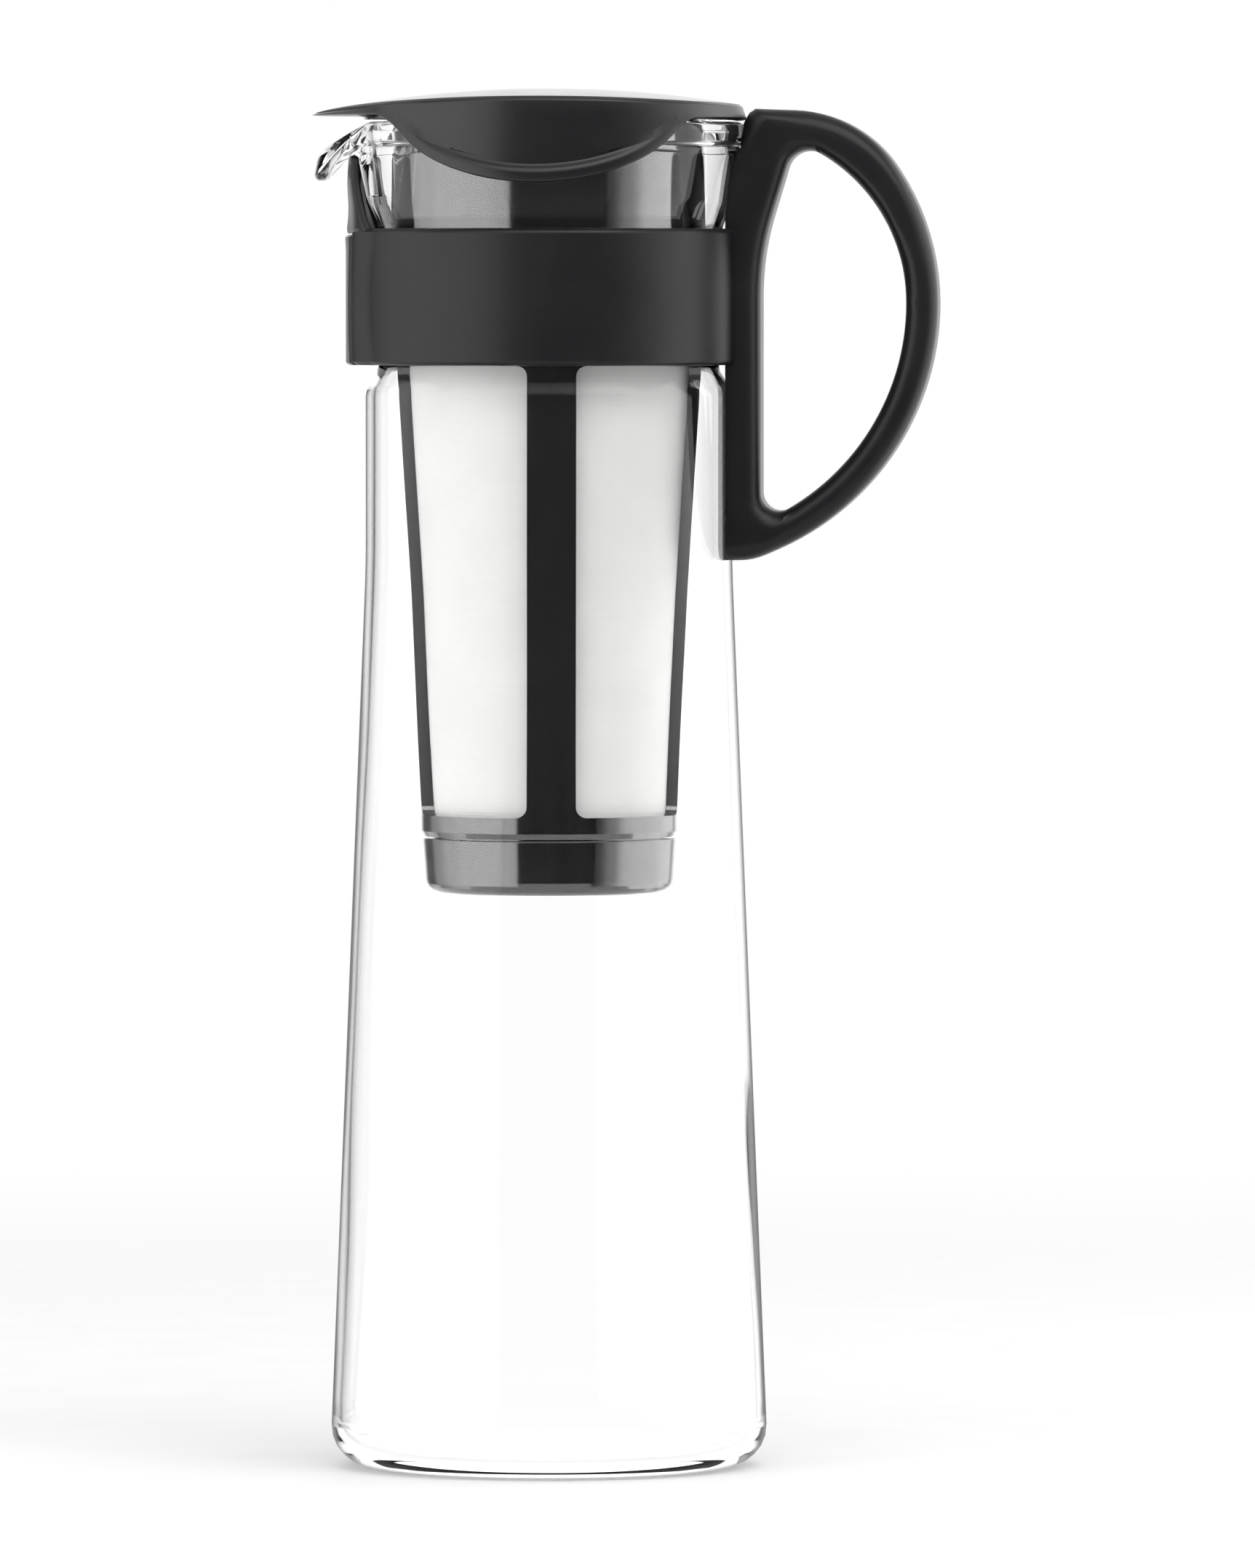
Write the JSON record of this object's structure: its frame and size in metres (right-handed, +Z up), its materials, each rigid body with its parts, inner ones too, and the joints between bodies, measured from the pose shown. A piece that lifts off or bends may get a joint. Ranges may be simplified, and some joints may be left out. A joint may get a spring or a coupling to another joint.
{
  "type": "cold brew coffee pitcher",
  "caption": "Tall glass cold brew pitcher with a black banded D handle, a spout with collar tips, a lift-out mesh strainer with a base cap, and a billed black lid.",
  "frame": {"origin": "centre of the base on the jug's axis, on the plane that the jug stands on", "axes": "+Z up along the jug's axis, +X towards the handle, -X towards the spout"},
  "size_m": [0.1363, 0.0948, 0.2999],
  "materials": {
    "glass": "clear polished",
    "band_plastic": "fine matte grain",
    "lid_plastic": "fine matte grain",
    "frame_plastic": "gloss moulded",
    "mesh": "fine woven mesh"
  },
  "bodies": {
    "carafe": {"glass_body": "glass", "handle_band": "band_plastic"},
    "clasp": {"band_clasp": "band_plastic"},
    "strainer": {"strainer_frame": "frame_plastic", "mesh_front_left": "mesh", "mesh_front_right": "mesh", "mesh_rear_left": "mesh", "mesh_rear_right": "mesh"},
    "base_cap": {"strainer_base_cap": "frame_plastic"},
    "lid": {"lid": "lid_plastic"}
  },
  "joints": [
    {"name": "strainer_lift", "type": "slide", "parent": "carafe", "child": "strainer", "axis": [0, 0, 1], "range_m": [0, 0.19]},
    {"name": "lid_lift", "type": "slide", "parent": "strainer", "child": "lid", "axis": [0, 0, 1], "range_m": [0, 0.05]},
    {"name": "base_cap_pull", "type": "slide", "parent": "strainer", "child": "base_cap", "axis": [0, 0, -1], "range_m": [0, 0.02]},
    {"name": "clasp_slide", "type": "slide", "parent": "carafe", "child": "clasp", "axis": [0, 0, -1], "range_m": [0, 0.03]}
  ]
}
